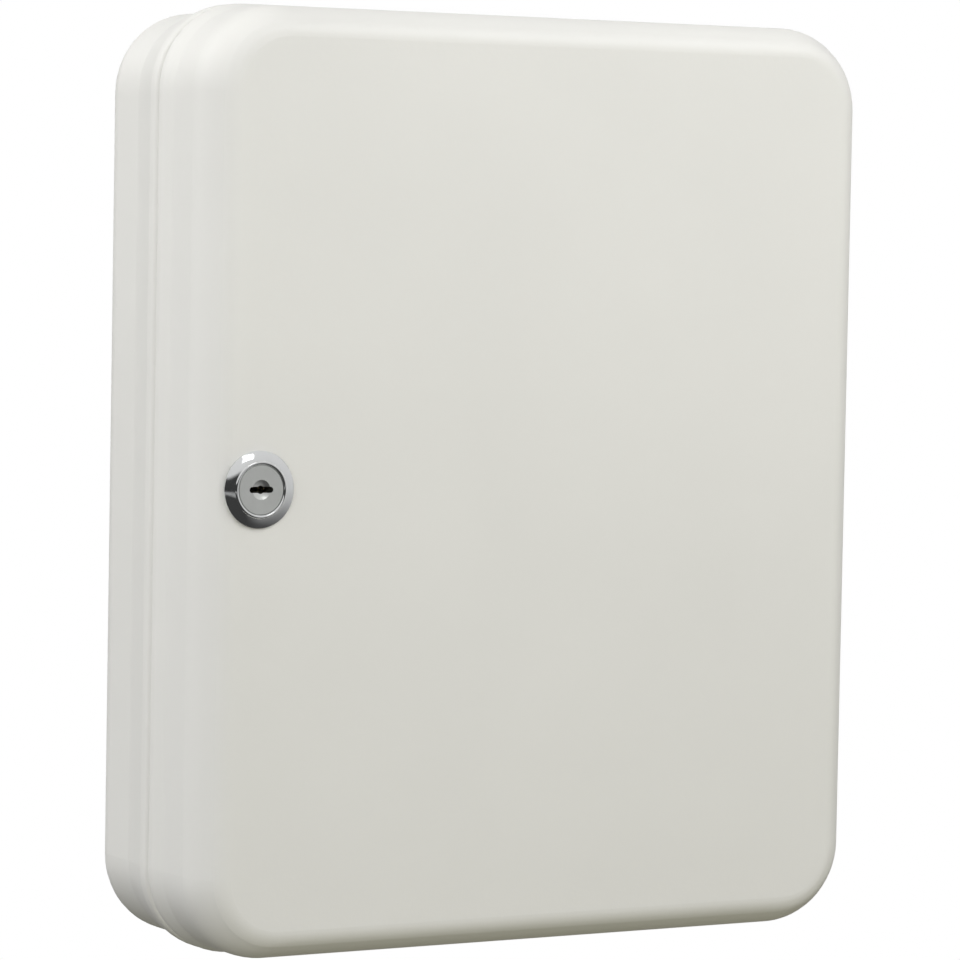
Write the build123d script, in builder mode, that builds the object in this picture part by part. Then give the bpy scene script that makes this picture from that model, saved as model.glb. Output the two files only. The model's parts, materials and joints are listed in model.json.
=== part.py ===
from build123d import *

import os
from math import sqrt

# Wall-hung steel key cabinet: a drawn body pan and a drawn door pan of the same outline, joined by
# two butt hinges on the right and closed by a cam lock on the left, with rails of key hooks inside.
#
# Frame: the wall is the plane y = 0 and the cabinet's front faces -Y. +Z is up and +X is to the
# right as seen from the front. The origin is the centre of the four wall holes. Millimetres.

os.makedirs("parts", exist_ok=True)

# ---------------------------------------------------------------- driving dimensions
WIDTH = 245.0
HEIGHT = 300.0
DEPTH = 80.0
CORNER_RADIUS = 28.0
SHEET = 1.0

DOOR_DEPTH = 36.3
SEAM_GAP = 0.4
DOOR_BACK_Y = DOOR_DEPTH - DEPTH
BODY_FRONT_Y = DOOR_BACK_Y + SEAM_GAP

# The outline is widest at the seam: both pans' walls flare out to it from flanks that stand inside.
DOOR_FLANK = 1.1
DOOR_FLARE_FRONT_Y = -53.0
DOOR_FLARE_BACK_Y = -46.5
BODY_FLANK = 2.1
BODY_FLARE_BACK_Y = -26.0
BODY_FLARE_FRONT_Y = -38.5
FLARE_BLEND = 6.0

FRONT_ROLL_X = 10.0
FRONT_ROLL_Y = 14.0
BACK_ROLL = 11.0
BODY_RIM_ROLL = 2.6
DOOR_RIM_ROLL = 1.3
BODY_LIP = 8.0
DOOR_LIP = 5.0
ROLL_LAND = 3.0

WALL_HOLE_X = 120.0
WALL_HOLE_Z = 200.0
WALL_HOLE_R = 3.25

FIT_GAP = 0.04

# Hinges: the pin axis stands just outside the right-hand wall, in the middle of the seam.
HINGE_X = WIDTH / 2 + 0.5
HINGE_Y = (DOOR_BACK_Y + BODY_FRONT_Y) / 2
HINGE_LENGTH = 50.0
HINGE_KNUCKLES = 5
KNUCKLE_R = 2.5
KNUCKLE_GAP = 0.3
PIN_R = 1.2
PIN_CLEARANCE = 0.05
LEAF_SHEET = 0.9
LEAF_REACH = 19.0
HINGE_ROWS = {"upper": 95.0, "lower": -95.0}

# Cam lock.
LOCK_X = -104.0
LOCK_Z = -0.8
BEZEL_R = 12.0
BEZEL_RING_R = 9.0
BEZEL_PROUD = 2.5
BARREL_R = 9.0
BARREL_FLAT = 7.6
BARREL_BACK_Y = -52.0
THREAD_PITCH = 1.0
THREAD_DEPTH = 0.5
PLUG_HEAD_R = 7.8
PLUG_R = 6.5
PLUG_CLEARANCE = 0.06
WAFERS = 5
WAFER_PITCH = 3.6
WAFER_FIRST_Y = -76.0
WAFER_SHEET = 0.6
TANG = 7.0
CAM_SHEET = 1.6
CAM_WIDTH = 11.0
CAM_REACH = 16.0
CAM_CRANK_R = 6.2
CAM_LIP_GAP = 1.6
CAM_BEND_R = 0.5
CAM_FOOT_R = 4.0
CAM_TIP_R = 3.0

# Hook rails. Each row clips into two slotted uprights.
UPRIGHT_WIDTH = 14.0
UPRIGHT_DEPTH = 6.0
SLOT_PITCH = 10.0
SLOT_WIDTH = 2.2
SLOT_HEIGHT = 7.4
SLOT_RISE = 1.25
RAIL_HEIGHT = 14.0
RAIL_SHEET = 1.0
HOOK_WIDTH = 4.0
HOOK_REACH = 12.0
LABEL_HEIGHT = 7.0
LABEL_SHEET = 0.25

BODY_ROWS = (120.0, 80.0, 40.0, 0.0, -40.0, -80.0)
BODY_HOOKS = 8
BODY_HOOK_PITCH = 25.0
BODY_RAIL_LENGTH = 204.0
BODY_UPRIGHT_X = 88.0
BODY_UPRIGHT_Z = (-95.0, 135.0)

DOOR_ROWS = (110.0, 60.0, 10.0, -40.0, -90.0)
DOOR_HOOKS = 9
DOOR_HOOK_PITCH = 20.0
DOOR_RAIL_LENGTH = 184.0
DOOR_RAIL_X = 12.0
DOOR_UPRIGHT_X = 76.0
DOOR_UPRIGHT_Z = (-105.0, 125.0)

# ---------------------------------------------------------------- shared planes and outlines
# The wall section stands at the middle of the bottom edge: local x points out of the cabinet and
# local y is the world's Y.
WALL_SECTION = Plane(origin=(0, 0, -HEIGHT / 2), x_dir=(0, 0, -1), z_dir=(1, 0, 0))
LOCK_SECTION = Plane(origin=(LOCK_X, 0, LOCK_Z), x_dir=(1, 0, 0), z_dir=(0, 0, 1))
LOCK_AXIS = Axis((LOCK_X, 0, LOCK_Z), (0, 1, 0))


def lock_plane(y):
    """The plane square to the lock's axis at depth y, facing the front."""
    return Plane(origin=(LOCK_X, y, LOCK_Z), x_dir=(1, 0, 0), z_dir=(0, -1, 0))


# The right-hand half of the outline, from the middle of the bottom edge to the middle of the top.
with BuildLine(Plane.XZ) as half_outline:
    FilletPolyline(
        (0, -HEIGHT / 2),
        (WIDTH / 2, -HEIGHT / 2),
        (WIDTH / 2, HEIGHT / 2),
        (0, HEIGHT / 2),
        radius=CORNER_RADIUS,
    )


# The notches that let the hinge knuckles into the right-hand walls.
NOTCH_BITE = 3.0
NOTCH_REACH = KNUCKLE_R + 2 * KNUCKLE_GAP
NOTCH_INNER_X = WIDTH / 2 - SHEET - NOTCH_BITE
NOTCH_WIDTH = HINGE_X + KNUCKLE_R - NOTCH_INNER_X
NOTCH_HEIGHT = HINGE_LENGTH + 2 * SEAM_GAP
NOTCH_PLACES = [(NOTCH_INNER_X + NOTCH_WIDTH / 2, HINGE_Y, z) for z in HINGE_ROWS.values()]

# ---------------------------------------------------------------- body pan
BACK_LAND = BODY_FLANK + BACK_ROLL + ROLL_LAND

with BuildPart() as cabinet_body:
    with BuildSketch(WALL_SECTION):
        with BuildLine():
            FilletPolyline(
                (-BACK_LAND, 0),
                (-BODY_FLANK, 0),
                (-BODY_FLANK, BODY_FLARE_BACK_Y),
                (0, BODY_FLARE_FRONT_Y),
                (0, BODY_FRONT_Y),
                (-BODY_LIP, BODY_FRONT_Y),
                radius=[BACK_ROLL, FLARE_BLEND, FLARE_BLEND, BODY_RIM_ROLL],
            )
            offset(amount=SHEET, side=Side.RIGHT)
        make_face()
    sweep(path=half_outline.wire())
    mirror(about=Plane.YZ)
    with BuildSketch(Plane.XZ):
        RectangleRounded(WIDTH - 2 * BACK_LAND, HEIGHT - 2 * BACK_LAND, CORNER_RADIUS - BACK_LAND)
    extrude(amount=SHEET)
    with BuildSketch(Plane.XZ):
        with GridLocations(WALL_HOLE_X, WALL_HOLE_Z, 2, 2):
            Circle(WALL_HOLE_R)
    extrude(amount=SHEET, mode=Mode.SUBTRACT)
    with Locations(*NOTCH_PLACES):
        Box(NOTCH_WIDTH, 2 * NOTCH_REACH, NOTCH_HEIGHT, mode=Mode.SUBTRACT)
cabinet_body.part.label = "cabinet_body"
export_step(cabinet_body.part, "parts/cabinet_body.step")

# ---------------------------------------------------------------- door pan
FRONT_LAND = DOOR_FLANK + FRONT_ROLL_X + ROLL_LAND
# The front roll is two tangent eighths of a circle, tighter at the face and wider at the flank.
EIGHTH = sqrt(0.5)
FACE_ROLL = (FRONT_ROLL_X * EIGHTH - FRONT_ROLL_Y * (1 - EIGHTH)) / (2 * EIGHTH - 1)
FLANK_ROLL = (FRONT_ROLL_Y * EIGHTH - FRONT_ROLL_X * (1 - EIGHTH)) / (2 * EIGHTH - 1)

with BuildPart() as door_shell:
    with BuildSketch(WALL_SECTION):
        with BuildLine():
            face = Line((-FRONT_LAND, -DEPTH), (-DOOR_FLANK - FRONT_ROLL_X, -DEPTH))
            face_roll = JernArc(face @ 1, face % 1, FACE_ROLL, 45)
            flank_roll = JernArc(face_roll @ 1, face_roll % 1, FLANK_ROLL, 45)
            FilletPolyline(
                flank_roll @ 1,
                (-DOOR_FLANK, DOOR_FLARE_FRONT_Y),
                (0, DOOR_FLARE_BACK_Y),
                (0, DOOR_BACK_Y),
                (-DOOR_LIP, DOOR_BACK_Y),
                radius=[FLARE_BLEND, FLARE_BLEND, DOOR_RIM_ROLL],
            )
            offset(amount=SHEET, side=Side.LEFT)
        make_face()
    sweep(path=half_outline.wire())
    mirror(about=Plane.YZ)
    with BuildSketch(Plane.XZ.offset(DEPTH)):
        RectangleRounded(WIDTH - 2 * FRONT_LAND, HEIGHT - 2 * FRONT_LAND, CORNER_RADIUS - FRONT_LAND)
    extrude(amount=-SHEET)
    with BuildSketch(lock_plane(-DEPTH)):
        Circle(BARREL_R + PLUG_CLEARANCE)
        Rectangle(2 * BARREL_R + SHEET, 2 * (BARREL_FLAT + PLUG_CLEARANCE), mode=Mode.INTERSECT)
    extrude(amount=-3 * SHEET, mode=Mode.SUBTRACT)
    with Locations(*NOTCH_PLACES):
        Box(NOTCH_WIDTH, 2 * NOTCH_REACH, NOTCH_HEIGHT, mode=Mode.SUBTRACT)
door_shell.part.label = "door_shell"
export_step(door_shell.part, "parts/door_shell.step")

# ---------------------------------------------------------------- hinges
BODY_LEAF_EXTRA = 4.0
BODY_LEAF_BACK_Y = HINGE_Y + LEAF_REACH + BODY_LEAF_EXTRA
DOOR_LEAF_FRONT_Y = HINGE_Y - LEAF_REACH
WALL_GAP = 0.05
LEAF_SEAM_X = WIDTH / 2 - SHEET - WALL_GAP
LEAF_BODY_X = LEAF_SEAM_X - BODY_FLANK - WALL_GAP
LEAF_DOOR_X = LEAF_SEAM_X - DOOR_FLANK - WALL_GAP
BEND_SHIFT = 0.5
PIN_CHAMFER = 0.3
KNUCKLE_LENGTH = HINGE_LENGTH / HINGE_KNUCKLES
BODY_KNUCKLES = range(0, HINGE_KNUCKLES, 2)
DOOR_KNUCKLES = range(1, HINGE_KNUCKLES, 2)
BODY_LEAF_LINE = [
    (LEAF_SEAM_X, HINGE_Y),
    (LEAF_SEAM_X, BODY_FLARE_FRONT_Y - BEND_SHIFT),
    (LEAF_BODY_X, BODY_FLARE_BACK_Y - BEND_SHIFT),
    (LEAF_BODY_X, BODY_LEAF_BACK_Y),
]
DOOR_LEAF_LINE = [
    (LEAF_SEAM_X, HINGE_Y),
    (LEAF_SEAM_X, DOOR_FLARE_BACK_Y + BEND_SHIFT),
    (LEAF_DOOR_X, DOOR_FLARE_FRONT_Y + BEND_SHIFT),
    (LEAF_DOOR_X, DOOR_LEAF_FRONT_Y),
]


def knuckle_places(knuckles, middle):
    """The middle of each named knuckle of the hinge centred on height middle."""
    first = middle - HINGE_LENGTH / 2 + KNUCKLE_LENGTH / 2
    return [(HINGE_X, HINGE_Y, first + KNUCKLE_LENGTH * k) for k in knuckles]


def hinge_leaf(line, inner_side, own, other, middle):
    """One hinge leaf: a bent plate, its own knuckles, and room for the other leaf's."""
    with BuildPart() as leaf:
        with BuildSketch(Plane.XY.offset(middle - HINGE_LENGTH / 2)):
            with BuildLine():
                Polyline(*line)
                offset(amount=LEAF_SHEET, side=inner_side)
            make_face()
        extrude(amount=HINGE_LENGTH)
        with Locations(*knuckle_places(other, middle)):
            Cylinder(KNUCKLE_R + KNUCKLE_GAP, KNUCKLE_LENGTH + KNUCKLE_GAP, mode=Mode.SUBTRACT)
        with Locations(*knuckle_places(own, middle)):
            Cylinder(KNUCKLE_R, KNUCKLE_LENGTH - KNUCKLE_GAP)
        with Locations((HINGE_X, HINGE_Y, middle)):
            Cylinder(PIN_R + PIN_CLEARANCE, HINGE_LENGTH, mode=Mode.SUBTRACT)
    return leaf


for name, middle in HINGE_ROWS.items():
    body_leaf = hinge_leaf(BODY_LEAF_LINE, Side.LEFT, BODY_KNUCKLES, DOOR_KNUCKLES, middle)
    body_leaf.part.label = f"{name}_hinge_body_leaf"
    export_step(body_leaf.part, f"parts/{name}_hinge_body_leaf.step")

    door_leaf = hinge_leaf(DOOR_LEAF_LINE, Side.RIGHT, DOOR_KNUCKLES, BODY_KNUCKLES, middle)
    door_leaf.part.label = f"{name}_hinge_door_leaf"
    export_step(door_leaf.part, f"parts/{name}_hinge_door_leaf.step")

    with BuildPart() as hinge_pin:
        with Locations((HINGE_X, HINGE_Y, middle)):
            Cylinder(PIN_R, HINGE_LENGTH + 2 * KNUCKLE_GAP)
        chamfer(hinge_pin.edges().filter_by(GeomType.CIRCLE), PIN_CHAMFER)
    hinge_pin.part.label = f"{name}_hinge_pin"
    export_step(hinge_pin.part, f"parts/{name}_hinge_pin.step")

# ---------------------------------------------------------------- cam lock: housing
BEZEL_FRONT_Y = -DEPTH - BEZEL_PROUD
BEZEL_RIM = 0.8
BEZEL_CROWN = 0.1
RING_FOOT_Y = BEZEL_FRONT_Y + 0.4
BEZEL_MIDDLE = (
    (BEZEL_RING_R + BEZEL_R) / 2 + BEZEL_CROWN,
    (RING_FOOT_Y - DEPTH - BEZEL_RIM) / 2 - BEZEL_CROWN,
)
RECESS_R = PLUG_HEAD_R + FIT_GAP
RECESS_FLOOR_Y = -DEPTH - 1.1
BORE_R = PLUG_R + PLUG_CLEARANCE
THREAD_FRONT_Y = -DEPTH + 2.5
THREAD_TURNS = 23
LUG_BACK_Y = BARREL_BACK_Y + 0.7
LUG_R = 7.6
CHANNEL_R = 7.7
WAFER_HEIGHT = 4.8
WAFER_GAP = 0.1
# The gap in the lug, seen from the front, that the stop washer's tab swings through as the plug turns.
STOP_SWING = [(-20, 20), (-20, -4), (0, 0), (4, 20)]

thread_line = []
for turn in range(THREAD_TURNS):
    crest_y = THREAD_FRONT_Y + THREAD_PITCH * turn
    thread_line += [(BARREL_R, crest_y), (BARREL_R - THREAD_DEPTH, crest_y + THREAD_PITCH / 2)]

with BuildPart() as lock_housing:
    with BuildSketch(LOCK_SECTION):
        with BuildLine():
            Polyline(
                (BORE_R, BARREL_BACK_Y),
                (BORE_R, RECESS_FLOOR_Y),
                (RECESS_R, RECESS_FLOOR_Y),
                (RECESS_R, RING_FOOT_Y),
            )
            ThreePointArc(
                (RECESS_R, RING_FOOT_Y),
                ((RECESS_R + BEZEL_RING_R) / 2, BEZEL_FRONT_Y),
                (BEZEL_RING_R, RING_FOOT_Y),
            )
            ThreePointArc(
                (BEZEL_RING_R, RING_FOOT_Y),
                BEZEL_MIDDLE,
                (BEZEL_R, -DEPTH - BEZEL_RIM),
            )
            Polyline(
                (BEZEL_R, -DEPTH - BEZEL_RIM),
                (BEZEL_R, -DEPTH - FIT_GAP),
                (BARREL_R, -DEPTH - FIT_GAP),
                *thread_line,
                (BARREL_R - THREAD_DEPTH, BARREL_BACK_Y),
                (BORE_R, BARREL_BACK_Y),
            )
        make_face()
    revolve(axis=LOCK_AXIS)
    with BuildSketch(lock_plane(BARREL_BACK_Y)):
        Circle(BARREL_R - THREAD_DEPTH)
        Circle(LUG_R, mode=Mode.SUBTRACT)
        with BuildLine():
            Polyline(*STOP_SWING, close=True)
        make_face(mode=Mode.SUBTRACT)
    extrude(amount=BARREL_BACK_Y - LUG_BACK_Y)
    with BuildSketch(lock_plane(-DEPTH - FIT_GAP)):
        Rectangle(3 * BARREL_R, 3 * BARREL_R)
        Rectangle(3 * BARREL_R, 2 * BARREL_FLAT, mode=Mode.SUBTRACT)
    extrude(amount=-DEPTH, mode=Mode.SUBTRACT)
    with BuildSketch(lock_plane(WAFER_FIRST_Y - WAFER_PITCH / 2)):
        Rectangle(2 * CHANNEL_R, WAFER_HEIGHT + 4 * WAFER_GAP)
    extrude(amount=-WAFERS * WAFER_PITCH, mode=Mode.SUBTRACT)
lock_housing.part.label = "lock_housing"
export_step(lock_housing.part, "parts/lock_housing.step")

# ---------------------------------------------------------------- cam lock: plug, wafers, springs
PLUG_FRONT_Y = BEZEL_FRONT_Y + 0.35
HEAD_BACK_Y = RECESS_FLOOR_Y - FIT_GAP
TANG_LENGTH = 2.2
HEAD_CHAMFER = 0.25
KEYWAY_WIDTH = 8.2
KEYWAY_HEIGHT = 1.9
KEYWAY_DEPTH = 26.0
WINDOW_ROOM = 0.4
PILOT_R = 1.3
# The keyway opens in the middle of a round hollow that leads the key in.
HOLLOW_R = 3.1
HOLLOW_DEPTH = 0.75
HOLLOW_BALL_R = (HOLLOW_R**2 + HOLLOW_DEPTH**2) / (2 * HOLLOW_DEPTH)
SPRING_R = 0.36
SPRING_POCKET_Z = 2.5
SPRING_LENGTH = 4.4
SPRING_ROOM = 0.4
SCREW_R = 1.95
SCREW_DEPTH = 8.0

WAFER_PLACES_Y = [WAFER_FIRST_Y + WAFER_PITCH * k for k in range(WAFERS)]

with BuildPart() as lock_plug:
    with BuildSketch(lock_plane(PLUG_FRONT_Y)):
        Circle(PLUG_HEAD_R)
    extrude(amount=PLUG_FRONT_Y - HEAD_BACK_Y)
    chamfer(lock_plug.edges().filter_by(GeomType.CIRCLE).sort_by(Axis.Y)[0], HEAD_CHAMFER)
    with BuildSketch(lock_plane(HEAD_BACK_Y)):
        Circle(PLUG_R)
    extrude(amount=HEAD_BACK_Y - BARREL_BACK_Y)
    with BuildSketch(lock_plane(BARREL_BACK_Y)):
        Rectangle(TANG, TANG)
    extrude(amount=-TANG_LENGTH)
    with BuildSketch(lock_plane(PLUG_FRONT_Y)):
        SlotOverall(KEYWAY_WIDTH, KEYWAY_HEIGHT)
        Circle(PILOT_R)
    extrude(amount=-KEYWAY_DEPTH, mode=Mode.SUBTRACT)
    with Locations((LOCK_X, PLUG_FRONT_Y + HOLLOW_DEPTH - HOLLOW_BALL_R, LOCK_Z)):
        Sphere(HOLLOW_BALL_R, mode=Mode.SUBTRACT)
    with BuildSketch(lock_plane(BARREL_BACK_Y + TANG_LENGTH)):
        Circle(SCREW_R + WAFER_GAP)
    extrude(amount=SCREW_DEPTH, mode=Mode.SUBTRACT)
    for wafer_y in WAFER_PLACES_Y:
        with BuildSketch(lock_plane(wafer_y - WAFER_GAP)):
            Rectangle(2 * PLUG_R, WAFER_HEIGHT + 2 * WAFER_GAP)
            with Locations((0, SPRING_POCKET_Z + SPRING_R)):
                Rectangle(SPRING_LENGTH + 2 * SPRING_ROOM, 2 * SPRING_R + SPRING_ROOM)
        extrude(amount=-WAFER_SHEET - 2 * WAFER_GAP, mode=Mode.SUBTRACT)
lock_plug.part.label = "lock_plug"
export_step(lock_plug.part, "parts/lock_plug.step")

with BuildPart() as lock_wafers:
    for wafer_y in WAFER_PLACES_Y:
        with BuildSketch(lock_plane(wafer_y)):
            Circle(PLUG_R - FIT_GAP)
            Rectangle(2 * PLUG_R, WAFER_HEIGHT, mode=Mode.INTERSECT)
            Rectangle(KEYWAY_WIDTH + WINDOW_ROOM, KEYWAY_HEIGHT + WINDOW_ROOM, mode=Mode.SUBTRACT)
        extrude(amount=-WAFER_SHEET)
lock_wafers.part.label = "lock_wafers"
export_step(lock_wafers.part, "parts/lock_wafers.step")

spring_coils = 6
coil_step = SPRING_LENGTH / spring_coils
SPRING_LIFT = 0.05
SPRING_END_R = 0.1
COIL_CREST_R = SPRING_R - 0.02
COIL_ROOT_R = 0.22
with BuildPart() as lock_wafer_springs:
    for wafer_y in WAFER_PLACES_Y:
        spring_y = wafer_y + WAFER_SHEET / 2
        spring_z = LOCK_Z + SPRING_POCKET_Z + SPRING_R + SPRING_LIFT
        spring_x = LOCK_X - SPRING_LENGTH / 2
        wave = [(spring_x, SPRING_END_R)]
        for coil in range(spring_coils):
            wave += [(spring_x + coil_step * (coil + 0.5), COIL_CREST_R)]
            wave += [(spring_x + coil_step * (coil + 1), COIL_ROOT_R)]
        section = Plane(origin=(0, spring_y, spring_z), x_dir=(1, 0, 0), z_dir=(0, -1, 0))
        with BuildSketch(section):
            with BuildLine():
                Polyline((spring_x, 0), *wave, (spring_x + SPRING_LENGTH, 0), close=True)
            make_face()
        revolve(axis=Axis((0, spring_y, spring_z), (1, 0, 0)))
lock_wafer_springs.part.label = "lock_wafer_springs"
export_step(lock_wafer_springs.part, "parts/lock_wafer_springs.step")

# ---------------------------------------------------------------- cam lock: washer, nut, stop, cam
# The washer bears on the start of the front roll, which holds it this far off the flat of the face.
SEAT_GAP = 0.55
WASHER_R = 9.95
WASHER_SHEET = 0.8
WASHER_TEETH = 16
TOOTH_GAP_DEPTH = 0.9
TOOTH_GAP_WIDTH = 0.7
NUT_FLATS = 21.0
NUT_HEIGHT = 4.5
NUT_ROUNDING = 1.2
STOP_SHEET = 0.6
STOP_TAB_WIDTH = 2.6
STOP_TAB_R = 9.2

washer_y = -DEPTH + SHEET + SEAT_GAP
with BuildPart() as lock_tooth_washer:
    with BuildSketch(lock_plane(washer_y)):
        Circle(WASHER_R)
        with PolarLocations(WASHER_R, WASHER_TEETH):
            Rectangle(TOOTH_GAP_DEPTH, TOOTH_GAP_WIDTH, mode=Mode.SUBTRACT)
        Circle(BARREL_R + FIT_GAP, mode=Mode.SUBTRACT)
    extrude(amount=-WASHER_SHEET)
lock_tooth_washer.part.label = "lock_tooth_washer"
export_step(lock_tooth_washer.part, "parts/lock_tooth_washer.step")

nut_y = washer_y + WASHER_SHEET + FIT_GAP
with BuildPart() as lock_nut:
    with BuildSketch(lock_plane(nut_y)):
        RegularPolygon(NUT_FLATS / 2, 6, major_radius=False, rotation=30)
        Circle(BARREL_R + FIT_GAP, mode=Mode.SUBTRACT)
    extrude(amount=-NUT_HEIGHT)
    with BuildSketch(lock_plane(nut_y)):
        Circle(NUT_FLATS / 2 + NUT_ROUNDING)
    extrude(amount=-NUT_HEIGHT, mode=Mode.INTERSECT)
lock_nut.part.label = "lock_nut"
export_step(lock_nut.part, "parts/lock_nut.step")

stop_y = BARREL_BACK_Y + 2 * FIT_GAP
with BuildPart() as lock_stop_washer:
    with BuildSketch(lock_plane(stop_y)):
        Circle(LUG_R - WAFER_GAP)
        with Locations((0, STOP_TAB_R / 2)):
            Rectangle(STOP_TAB_WIDTH, STOP_TAB_R)
        Rectangle(TANG + 2 * FIT_GAP, TANG + 2 * FIT_GAP, mode=Mode.SUBTRACT)
    extrude(amount=-STOP_SHEET)
lock_stop_washer.part.label = "lock_stop_washer"
export_step(lock_stop_washer.part, "parts/lock_stop_washer.step")

cam_front_y = LUG_BACK_Y + WAFER_GAP
cam_tip_y = BODY_FRONT_Y + SHEET + CAM_LIP_GAP
CAM_SIDE = Plane(origin=(LOCK_X, 0, LOCK_Z), x_dir=(0, 1, 0), z_dir=(1, 0, 0))
with BuildPart() as lock_cam:
    with BuildSketch(CAM_SIDE):
        with BuildLine():
            FilletPolyline(
                (cam_front_y, -CAM_CRANK_R),
                (cam_front_y, CAM_CRANK_R),
                (cam_tip_y, CAM_CRANK_R),
                (cam_tip_y, CAM_REACH),
                radius=[CAM_SHEET + CAM_BEND_R, CAM_BEND_R],
            )
            offset(amount=CAM_SHEET, side=Side.RIGHT)
        make_face()
    extrude(amount=CAM_WIDTH / 2, both=True)
    fillet(lock_cam.edges().filter_by(Axis.Y).group_by(Axis.Z)[0], CAM_FOOT_R)
    fillet(lock_cam.edges().filter_by(Axis.Y).group_by(Axis.Z)[-1], CAM_TIP_R)
    with BuildSketch(lock_plane(cam_front_y)):
        Rectangle(TANG + 2 * FIT_GAP, TANG + 2 * FIT_GAP)
    extrude(amount=-CAM_SHEET, mode=Mode.SUBTRACT)
lock_cam.part.label = "lock_cam"
export_step(lock_cam.part, "parts/lock_cam.step")

screw_y = cam_front_y + CAM_SHEET + FIT_GAP
SCREW_HEAD_R = 3.8
SCREW_HEAD_HEIGHT = 2.2
SCREW_CROWN_R = 1.2
CROSS_SPAN = 4.4
CROSS_WIDTH = 0.9
CROSS_DEPTH = 1.2
SCREW_SHORTFALL = 1.0
with BuildPart() as lock_cam_screw:
    with BuildSketch(lock_plane(screw_y)):
        Circle(SCREW_HEAD_R)
    extrude(amount=-SCREW_HEAD_HEIGHT)
    fillet(lock_cam_screw.edges().filter_by(GeomType.CIRCLE).sort_by(Axis.Y)[-1], SCREW_CROWN_R)
    with BuildSketch(lock_plane(screw_y + SCREW_HEAD_HEIGHT)):
        Rectangle(CROSS_SPAN, CROSS_WIDTH)
        Rectangle(CROSS_WIDTH, CROSS_SPAN)
    extrude(amount=CROSS_DEPTH, mode=Mode.SUBTRACT)
    with BuildSketch(lock_plane(screw_y)):
        Circle(SCREW_R)
    extrude(amount=SCREW_DEPTH - SCREW_SHORTFALL)
lock_cam_screw.part.label = "lock_cam_screw"
export_step(lock_cam_screw.part, "parts/lock_cam_screw.step")

# ---------------------------------------------------------------- slotted uprights
SLOT_FOOT_GAP = FIT_GAP
UPRIGHT_EDGE_R = 1.5


def upright(wall, along, low, high):
    """A channel that stands on a pan: wall is the pan's inner face, local y is up."""
    with BuildPart() as channel:
        foot = wall.offset(SLOT_FOOT_GAP)
        with BuildSketch(foot):
            with Locations((along, (low + high) / 2)):
                Rectangle(UPRIGHT_WIDTH, high - low)
        extrude(amount=UPRIGHT_DEPTH - SLOT_FOOT_GAP)
        front = 0 if wall.z_dir.Y < 0 else -1
        fillet(channel.edges().filter_by(Axis.Z).group_by(Axis.Y)[front], UPRIGHT_EDGE_R)
        with BuildSketch(foot):
            with Locations((along, (low + high) / 2)):
                Rectangle(UPRIGHT_WIDTH - 2 * SHEET, high - low)
        extrude(amount=UPRIGHT_DEPTH - SLOT_FOOT_GAP - SHEET, mode=Mode.SUBTRACT)
        slots = round((high - low) / SLOT_PITCH)
        with BuildSketch(foot):
            with Locations((along, (low + high) / 2 + SLOT_RISE)):
                with GridLocations(SLOT_PITCH, SLOT_PITCH, 1, slots):
                    Rectangle(SLOT_WIDTH, SLOT_HEIGHT)
        extrude(amount=UPRIGHT_DEPTH, mode=Mode.SUBTRACT)
    return channel


# Each pan's inner face: local x runs along a rail, local y is up, and the normal points to the keys.
BODY_WALL = Plane(origin=(0, -SHEET, 0), x_dir=(1, 0, 0), z_dir=(0, -1, 0))
DOOR_WALL = Plane(origin=(DOOR_RAIL_X, SHEET - DEPTH, 0), x_dir=(-1, 0, 0), z_dir=(0, 1, 0))

for side, sign in {"left": -1, "right": 1}.items():
    body_upright = upright(BODY_WALL, sign * BODY_UPRIGHT_X, *BODY_UPRIGHT_Z)
    body_upright.part.label = f"body_upright_{side}"
    export_step(body_upright.part, f"parts/body_upright_{side}.step")

    door_upright = upright(DOOR_WALL, -sign * DOOR_UPRIGHT_X, *DOOR_UPRIGHT_Z)
    door_upright.part.label = f"door_upright_{side}"
    export_step(door_upright.part, f"parts/door_upright_{side}.step")

# ---------------------------------------------------------------- hook rails and number strips
TAB_WIDTH = 1.8
TAB_HEIGHT = 4.8
TAB_DEPTH = 2.6
TAB_HOOK = 2.2
LABEL_RISE = 2.5
HOOK_TIP_RISE = 6.5
HOOK_DROP = 2.0
HOOK_TOE_DROP = 0.5
HOOK_LEAN = 1.0
HOOK_BEND_R = 1.8
TAB_ROOM = 0.2
STRIP_INSET = 3.0


def hook_rail(wall, height, length, hooks, pitch, upright_x):
    """A folded strip with key hooks, which hangs by a tab at each end in its uprights' slots."""
    face = wall.offset(UPRIGHT_DEPTH + FIT_GAP)
    centre = face.from_local_coords((0, height, 0))
    side = Plane(origin=centre, x_dir=face.z_dir, z_dir=-face.x_dir)
    with BuildPart() as rail:
        with BuildSketch(face):
            with Locations((0, height)):
                Rectangle(length, RAIL_HEIGHT)
        extrude(amount=RAIL_SHEET)
        for hook in range(hooks):
            with BuildSketch(side.offset((hook - (hooks - 1) / 2) * pitch)):
                with BuildLine():
                    FilletPolyline(
                        (0, 0),
                        (0, -RAIL_HEIGHT / 2 - HOOK_DROP),
                        (HOOK_REACH, -RAIL_HEIGHT / 2 - HOOK_TOE_DROP),
                        (HOOK_REACH + HOOK_LEAN, HOOK_TIP_RISE - RAIL_HEIGHT / 2),
                        radius=HOOK_BEND_R,
                    )
                    offset(amount=RAIL_SHEET, side=Side.LEFT)
                make_face()
            extrude(amount=HOOK_WIDTH / 2, both=True)
        for end in (-upright_x, upright_x):
            with BuildSketch(face):
                with Locations((end, height)):
                    Rectangle(TAB_WIDTH, TAB_HEIGHT)
            extrude(amount=-TAB_DEPTH)
            with BuildSketch(face.offset(-TAB_DEPTH)):
                with Locations((end, height - TAB_HOOK / 2)):
                    Rectangle(TAB_WIDTH, TAB_HEIGHT + TAB_HOOK)
            extrude(amount=TAB_DEPTH - SHEET - 2 * FIT_GAP - TAB_ROOM)
    return rail


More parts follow.
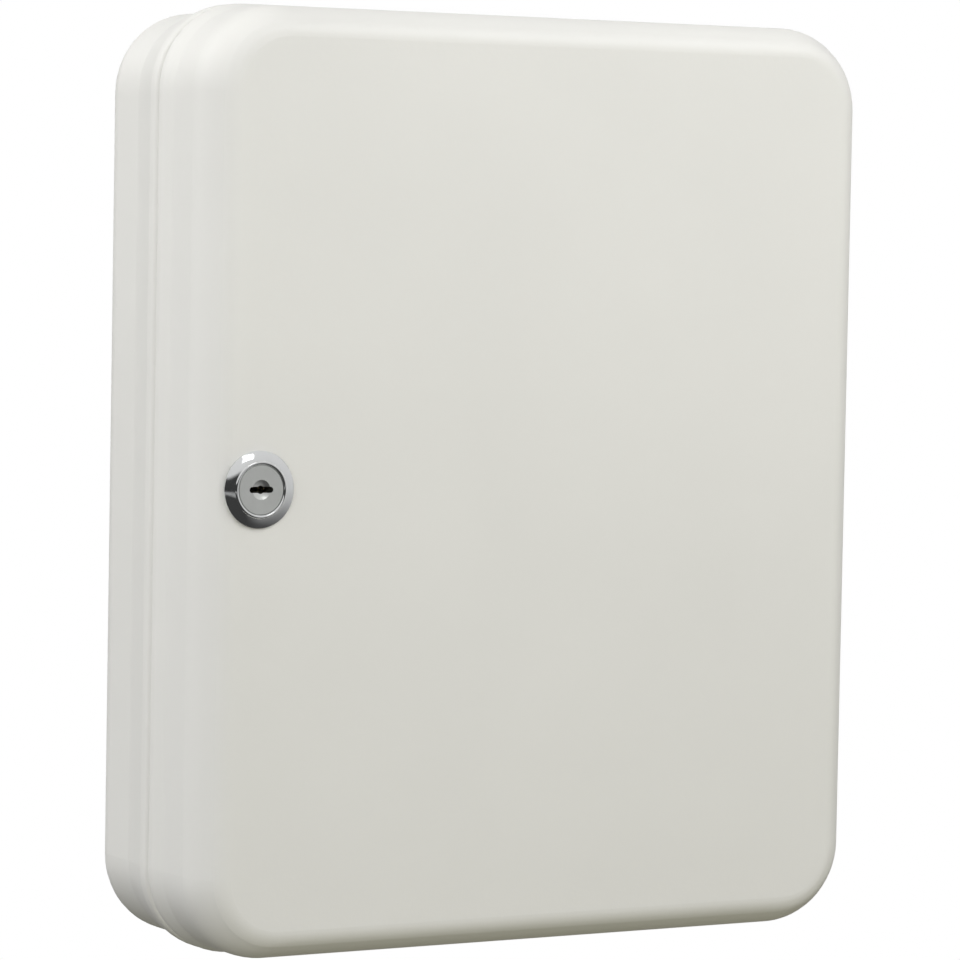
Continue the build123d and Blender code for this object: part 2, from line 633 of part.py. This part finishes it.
def number_strip(wall, height, length):
    """The adhesive strip above a rail's hooks, which carries their numbers."""
    with BuildPart() as strip:
        with BuildSketch(wall.offset(UPRIGHT_DEPTH + RAIL_SHEET + 2 * FIT_GAP)):
            with Locations((0, height + LABEL_RISE)):
                Rectangle(length - 2 * STRIP_INSET, LABEL_HEIGHT)
        extrude(amount=LABEL_SHEET)
    return strip


for row, height in enumerate(BODY_ROWS, 1):
    body_rail = hook_rail(
        BODY_WALL, height, BODY_RAIL_LENGTH, BODY_HOOKS, BODY_HOOK_PITCH, BODY_UPRIGHT_X
    )
    body_rail.part.label = f"body_rail_{row}"
    export_step(body_rail.part, f"parts/body_rail_{row}.step")

    body_strip = number_strip(BODY_WALL, height, BODY_RAIL_LENGTH)
    body_strip.part.label = f"body_number_strip_{row}"
    export_step(body_strip.part, f"parts/body_number_strip_{row}.step")

for row, height in enumerate(DOOR_ROWS, 1):
    door_rail = hook_rail(
        DOOR_WALL, height, DOOR_RAIL_LENGTH, DOOR_HOOKS, DOOR_HOOK_PITCH, DOOR_UPRIGHT_X
    )
    door_rail.part.label = f"door_rail_{row}"
    export_step(door_rail.part, f"parts/door_rail_{row}.step")

    door_strip = number_strip(DOOR_WALL, height, DOOR_RAIL_LENGTH)
    door_strip.part.label = f"door_number_strip_{row}"
    export_step(door_strip.part, f"parts/door_number_strip_{row}.step")
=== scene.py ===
import json
from math import cos, radians, sin

import bpy
from mathutils import Matrix, Vector


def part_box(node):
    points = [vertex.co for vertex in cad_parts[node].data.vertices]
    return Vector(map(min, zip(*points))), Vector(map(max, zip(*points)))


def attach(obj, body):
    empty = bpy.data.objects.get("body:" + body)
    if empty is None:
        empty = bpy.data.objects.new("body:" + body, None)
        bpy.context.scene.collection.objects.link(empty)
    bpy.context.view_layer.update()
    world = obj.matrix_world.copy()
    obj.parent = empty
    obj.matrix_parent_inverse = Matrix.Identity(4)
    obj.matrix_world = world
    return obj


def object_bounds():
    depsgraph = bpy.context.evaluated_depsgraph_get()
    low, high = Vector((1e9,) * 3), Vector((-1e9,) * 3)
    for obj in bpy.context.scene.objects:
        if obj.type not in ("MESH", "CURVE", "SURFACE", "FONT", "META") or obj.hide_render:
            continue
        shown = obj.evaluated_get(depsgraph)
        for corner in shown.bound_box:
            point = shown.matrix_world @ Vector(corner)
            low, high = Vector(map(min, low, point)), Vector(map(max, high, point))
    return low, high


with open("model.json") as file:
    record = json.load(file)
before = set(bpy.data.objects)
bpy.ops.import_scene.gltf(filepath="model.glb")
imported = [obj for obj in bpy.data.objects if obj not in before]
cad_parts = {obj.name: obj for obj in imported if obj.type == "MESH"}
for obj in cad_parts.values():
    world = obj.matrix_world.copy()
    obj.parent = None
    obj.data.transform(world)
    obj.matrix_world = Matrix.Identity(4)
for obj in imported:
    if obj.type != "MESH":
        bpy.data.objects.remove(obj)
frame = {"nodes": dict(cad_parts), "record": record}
CAD_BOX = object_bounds()
NODES = frame["nodes"]

# Lengths are in metres in the frame of the part: the wall is y = 0, the front faces -Y, +Z is up.
BASE_Z = CAD_BOX[0].z


# ---------------------------------------------------------------- node helpers
class Shader:
    """A material under construction, with its Principled shader and short ways to add nodes."""

    def __init__(self, name, colour, roughness, metallic=0.0):
        self.material = bpy.data.materials.new(name)
        self.material.use_nodes = True
        self.nodes = self.material.node_tree.nodes
        self.links = self.material.node_tree.links
        self.surface = self.nodes["Principled BSDF"]
        self.surface.inputs["Base Color"].default_value = (*colour, 1)
        self.surface.inputs["Roughness"].default_value = roughness
        self.surface.inputs["Metallic"].default_value = metallic
        self.place = self.nodes.new("ShaderNodeTexCoord").outputs["Object"]

    def noise(self, scale, detail=2.0, crowding=None):
        """Noise with about scale lumps to the metre, times crowding along each axis if given."""
        place = self.place
        if crowding:
            mapping = self.nodes.new("ShaderNodeMapping")
            mapping.inputs["Scale"].default_value = crowding
            self.links.new(place, mapping.inputs["Vector"])
            place = mapping.outputs["Vector"]
        noise = self.nodes.new("ShaderNodeTexNoise")
        noise.inputs["Scale"].default_value = scale
        noise.inputs["Detail"].default_value = detail
        self.links.new(place, noise.inputs["Vector"])
        return noise.outputs["Fac"]

    def span(self, value, low, high, start=0.3, end=0.7):
        """value, from start to end, spread over low to high."""
        spread = self.nodes.new("ShaderNodeMapRange")
        limits = {"From Min": start, "From Max": end, "To Min": low, "To Max": high}
        for socket, number in limits.items():
            spread.inputs[socket].default_value = number
        self.links.new(value, spread.inputs["Value"])
        return spread.outputs["Result"]

    def tint(self, value, one, other):
        """The base colour runs from one colour to the other with value."""
        mix = self.nodes.new("ShaderNodeMix")
        mix.data_type = "RGBA"
        mix.inputs["A"].default_value = (*one, 1)
        mix.inputs["B"].default_value = (*other, 1)
        self.links.new(value, mix.inputs["Factor"])
        self.links.new(mix.outputs["Result"], self.surface.inputs["Base Color"])

    def rough(self, value, low, high):
        """The roughness runs from low to high with value."""
        self.links.new(self.span(value, low, high), self.surface.inputs["Roughness"])

    def bump(self, value, height):
        """Raises the surface by up to height where value is high."""
        bump = self.nodes.new("ShaderNodeBump")
        bump.inputs["Distance"].default_value = height
        self.links.new(value, bump.inputs["Height"])
        above = self.surface.inputs["Normal"]
        if above.links:
            self.links.new(above.links[0].from_socket, bump.inputs["Normal"])
        self.links.new(bump.outputs["Normal"], above)


def scaled(colour, share):
    """colour, made lighter or darker by share."""
    return tuple(min(1.0, part * share) for part in colour)


# ---------------------------------------------------------------- materials
PAINT = (0.775, 0.770, 0.735)

# Noise scales are in lumps to the metre, bump heights in metres.
CLOUD_SCALE = 14.0
GLOSS_SCALE = 120.0
PEEL_SCALE = 420.0
PEEL_HEIGHT = 0.00003
POWDER_SCALE = 1900.0
POWDER_HEIGHT = 0.000006
STREAKS = (1.0, 6.0, 1.0)  # lumps crowded along Y make streaks across it
PLATING_HEIGHT = 0.000004
FILM_SCALE = 60.0
FILM_GRAIN_SCALE = 1500.0
FILM_GRAIN_HEIGHT = 0.000005
INK_SCALE = 900.0


def powder_coat(name, roughness):
    """Grey-white powder coat: orange peel, and a faint unevenness in colour and gloss."""
    coat = Shader(name, PAINT, roughness)
    clouds = coat.span(coat.noise(CLOUD_SCALE, 3.0), 0.0, 1.0)
    coat.tint(clouds, scaled(PAINT, 0.985), scaled(PAINT, 1.012))
    coat.rough(coat.noise(GLOSS_SCALE, 3.0), roughness - 0.03, roughness + 0.05)
    coat.bump(coat.noise(PEEL_SCALE), PEEL_HEIGHT)
    coat.bump(coat.noise(POWDER_SCALE, 1.0), POWDER_HEIGHT)
    return coat.material


def plated(name, colour, low, high, grain):
    """Plated or bare metal, whose gloss varies in fine streaks with a noise scale of grain."""
    metal = Shader(name, colour, low, 1.0)
    metal.rough(metal.noise(grain, 3.0, STREAKS), low, high)
    metal.tint(metal.noise(grain / 6), scaled(colour, 0.93), scaled(colour, 1.05))
    metal.bump(metal.noise(grain * 4), PLATING_HEIGHT)
    return metal.material


def card():
    """Matt printed film."""
    film = Shader("number_film", (0.90, 0.90, 0.87), 0.55)
    film.tint(film.noise(FILM_SCALE), (0.88, 0.88, 0.85), (0.91, 0.91, 0.885))
    film.bump(film.noise(FILM_GRAIN_SCALE), FILM_GRAIN_HEIGHT)
    return film.material


def ink():
    """Black print."""
    black = Shader("number_ink", (0.03, 0.03, 0.035), 0.5)
    black.tint(black.noise(INK_SCALE), (0.02, 0.02, 0.024), (0.05, 0.05, 0.055))
    return black.material


FINISHES = {
    "shell_paint": powder_coat("shell_powder_coat", 0.40),
    "rail_paint": powder_coat("rail_powder_coat", 0.46),
    "number_card": card(),
    "lock_chrome": plated("bright_chrome", (0.80, 0.81, 0.81), 0.05, 0.10, 700.0),
    "lock_face": plated("satin_nickel", (0.73, 0.745, 0.72), 0.30, 0.38, 900.0),
    "wafer_brass": plated("stamped_brass", (0.70, 0.54, 0.25), 0.28, 0.42, 900.0),
    "spring_steel": plated("spring_wire", (0.50, 0.50, 0.51), 0.25, 0.40, 900.0),
    "pin_steel": plated("drawn_steel", (0.56, 0.56, 0.57), 0.25, 0.38, 900.0),
    "zinc_steel": plated("bright_zinc", (0.62, 0.63, 0.65), 0.22, 0.40, 500.0),
}

# Each CAD node wears the detailed finish of its own material slot.
for part in frame["record"]["subparts"]:
    for place in NODES[part["node"]].material_slots:
        place.material = FINISHES[part["material_slot"]]


# ---------------------------------------------------------------- printed numbers
INK = ink()
FONT_SIZE = 0.0042
INK_DEPTH = 0.00006
# By side: its rows of hooks, the hooks in a row and their spacing, which way along Y its strips face
# with the door shut, and the body it rides on.
ROWS = {"body": 6, "door": 5}
HOOKS = {"body": (8, 0.025), "door": (9, 0.020)}
FACING = {"body": -1, "door": 1}
BODY_OF = {"body": "cabinet", "door": "door"}


def figures(side, row, first):
    """The numbers printed on one strip, over its hooks, as one piece."""
    low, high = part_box(f"{side}_number_strip_{row}")
    middle = (low + high) / 2
    count, pitch = HOOKS[side]
    facing = FACING[side]
    front = low.y if facing < 0 else high.y
    turn = Matrix.Rotation(radians(90), 4, "X")
    if facing > 0:
        turn = Matrix.Rotation(radians(180), 4, "Z") @ turn
    texts = []
    for hook in range(count):
        text = bpy.data.curves.new("figure", "FONT")
        text.body = str(first + hook)
        text.size = FONT_SIZE
        text.align_x = "CENTER"
        text.align_y = "CENTER"
        text.extrude = INK_DEPTH / 2
        text.resolution_u = 3
        # The numbers run from left to right for someone facing the strip.
        x = middle.x - facing * (hook - (count - 1) / 2) * pitch
        figure = bpy.data.objects.new("figure", text)
        figure.matrix_world = Matrix.Translation((x, front + facing * INK_DEPTH, middle.z)) @ turn
        bpy.context.scene.collection.objects.link(figure)
        texts.append(figure)
    bpy.context.view_layer.update()
    graph = bpy.context.evaluated_depsgraph_get()
    prints = []
    for figure in texts:
        mesh = bpy.data.meshes.new_from_object(figure.evaluated_get(graph))
        mesh.transform(figure.matrix_world)
        prints.append(bpy.data.objects.new("figure", mesh))
        bpy.data.objects.remove(figure)
    bpy.ops.object.select_all(action="DESELECT")
    for item in prints:
        bpy.context.scene.collection.objects.link(item)
        item.select_set(True)
    whole = prints[0]
    bpy.context.view_layer.objects.active = whole
    bpy.ops.object.join()
    whole.name = f"{side}_numbers_{row}"
    whole.data.materials.clear()
    whole.data.materials.append(INK)
    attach(whole, BODY_OF[side])


number = 1
for side, rows in ROWS.items():
    for row in range(1, rows + 1):
        figures(side, row, number)
        number += HOOKS[side][0]


# ---------------------------------------------------------------- floor, light and camera
FLOOR_REACH = 15.0
FLOOR_GAP = 0.0005
floor_mesh = bpy.data.meshes.new("floor")
corners = [(x * FLOOR_REACH, y * FLOOR_REACH, 0) for x, y in ((-1, -1), (1, -1), (1, 1), (-1, 1))]
floor_mesh.from_pydata(corners, [], [(0, 1, 2, 3)])
floor = bpy.data.objects.new("floor", floor_mesh)
floor.matrix_world = Matrix.Translation((0, 0, BASE_Z - FLOOR_GAP))
bpy.context.scene.collection.objects.link(floor)
floor_paint = Shader("floor_white", (0.0, 0.0, 0.0), 1.0)
floor_paint.surface.inputs["Emission Color"].default_value = (1.0, 1.0, 1.0, 1)
floor_paint.surface.inputs["Emission Strength"].default_value = 1.0
floor_paint.surface.inputs["Specular IOR Level"].default_value = 0.0
floor.data.materials.append(floor_paint.material)
# The floor is only a white backdrop: it lights nothing and stops no light, and a softbox below it
# lights the underside of the cabinet.
floor.visible_diffuse = False
floor.visible_glossy = False
floor.visible_shadow = False

# How bright the room is that polished metal mirrors, by height: straight down is 0, level is 0.5 and
# straight up is 1. In front, behind and to the left it is dark, with one pale gap just below level,
# and pale high up. To the right it grows paler steadily from the floor up.
MIRROR_FRONT = {
    0.0: 0.05, 0.40: 0.05,
    0.415: 0.35, 0.44: 0.35,
    0.455: 0.04, 0.60: 0.05,
    0.65: 0.72, 1.0: 0.80,
}
MIRROR_RIGHT = {0.0: 0.05, 0.13: 0.08, 0.28: 0.25, 0.40: 0.50, 0.47: 0.62, 0.6: 0.70, 1.0: 0.80}

world = bpy.data.worlds.new("studio")
bpy.context.scene.world = world
world.use_nodes = True
sky_nodes = world.node_tree.nodes
sky_links = world.node_tree.links
sky = sky_nodes["Background"]
sky_place = sky_nodes.new("ShaderNodeSeparateXYZ")
sky_links.new(sky_nodes.new("ShaderNodeTexCoord").outputs["Generated"], sky_place.inputs["Vector"])


def sky_span(axis, start, end):
    """0 to 1 as the part of the direction along an axis goes from start to end."""
    spread = sky_nodes.new("ShaderNodeMapRange")
    spread.inputs["From Min"].default_value = start
    spread.inputs["From Max"].default_value = end
    sky_links.new(sky_place.outputs[axis], spread.inputs["Value"])
    return spread.outputs["Result"]


def sky_bands(strengths):
    """Grey light whose strength goes by height."""
    ramp = sky_nodes.new("ShaderNodeValToRGB")
    steps = ramp.color_ramp.elements
    while len(steps) < len(strengths):
        steps.new(0.5)
    for step, (height, strength) in zip(steps, sorted(strengths.items())):
        step.position = height
        step.color = (strength, strength, strength, 1)
    sky_links.new(sky_span("Z", -1.0, 1.0), ramp.inputs["Fac"])
    return ramp.outputs["Color"]


def sky_mix(share, one, other):
    """one where share is 0, and other where it is 1."""
    mix = sky_nodes.new("ShaderNodeMix")
    mix.data_type = "RGBA"
    sky_links.new(share, mix.inputs["Factor"])
    for socket, colour in (("A", one), ("B", other)):
        if isinstance(colour, tuple):
            mix.inputs[socket].default_value = colour
        else:
            sky_links.new(colour, mix.inputs[socket])
    return mix.outputs["Result"]


# The camera sees white and polished metal sees the room. The world lights nothing else.
BLACK = (0.0, 0.0, 0.0, 1)
WHITE = (1.0, 1.0, 1.0, 1)
RIGHT_FROM, RIGHT_TO = 0.15, 0.45
ray = sky_nodes.new("ShaderNodeLightPath").outputs
rightwards = sky_span("X", RIGHT_FROM, RIGHT_TO)
room = sky_mix(rightwards, sky_bands(MIRROR_FRONT), sky_bands(MIRROR_RIGHT))
mirrored = sky_mix(ray["Is Glossy Ray"], BLACK, room)
sky_links.new(sky_mix(ray["Is Camera Ray"], mirrored, WHITE), sky.inputs["Color"])


MIDDLE = (CAD_BOX[0] + CAD_BOX[1]) / 2
NEUTRAL = (1.0, 1.0, 1.0)
WARM = (1.0, 0.97, 0.72)


def softbox(name, place, size, power, seen=False, colour=NEUTRAL):
    """A square area light of size metres and power watts, facing the middle of the cabinet.

    Polished metal mirrors it only if it is seen.
    """
    data = bpy.data.lights.new(name, "AREA")
    data.size = size
    data.energy = power
    data.color = colour
    lamp = bpy.data.objects.new(name, data)
    aim = (MIDDLE - Vector(place)).to_track_quat("-Z", "Y").to_matrix().to_4x4()
    lamp.matrix_world = Matrix.Translation(place) @ aim
    lamp.visible_glossy = seen
    bpy.context.scene.collection.objects.link(lamp)


softbox("key_softbox", (0.11, -1.2, 1.0), 0.45, 1.1, seen=True)
softbox("right_top_softbox", (0.55, -0.65, 0.70), 0.6, 6.4)
softbox("front_softbox", (0.0, -0.9, 0.35), 0.7, 2.6)
softbox("left_front_softbox", (-1.2, -0.9, 0.2), 1.0, 8.7)
softbox("left_softbox", (-1.5, 0.0, 0.4), 1.0, 5.4)
softbox("left_top_softbox", (-1.1, 0.0, 1.2), 1.0, 4.8)
softbox("left_high_back_softbox", (-0.9, 0.8, 0.9), 1.0, 11.1)
softbox("left_back_softbox", (-1.1, 1.0, 0.3), 1.0, 1.7)
softbox("low_front_softbox", (0.3, -0.8, -1.4), 1.0, 6.4, colour=WARM)

# The camera's yaw turns it from +Y towards +X, and its pitch tilts it down where negative.
CAMERA_PLACE = Vector((-0.74658, -1.31943, 0.07947))
CAMERA_YAW = radians(30.21)
CAMERA_PITCH = radians(-3.124)
CAMERA_ROLL = radians(1.035)
CAMERA_LENS = 169.82
SENSOR_WIDTH = 36.0

look = Vector((
    sin(CAMERA_YAW) * cos(CAMERA_PITCH),
    cos(CAMERA_YAW) * cos(CAMERA_PITCH),
    sin(CAMERA_PITCH),
))
level = Vector((cos(CAMERA_YAW), -sin(CAMERA_YAW), 0))
upright = level.cross(look)
right = cos(CAMERA_ROLL) * level + sin(CAMERA_ROLL) * upright
top = cos(CAMERA_ROLL) * upright - sin(CAMERA_ROLL) * level
camera_data = bpy.data.cameras.new("camera")
camera_data.sensor_width = SENSOR_WIDTH
camera_data.lens = CAMERA_LENS
camera = bpy.data.objects.new("camera", camera_data)
axes = Matrix((right, top, -look)).transposed().to_4x4()
camera.matrix_world = Matrix.Translation(CAMERA_PLACE) @ axes
bpy.context.scene.collection.objects.link(camera)
bpy.context.scene.camera = camera
bpy.context.scene.view_settings.view_transform = "Standard"
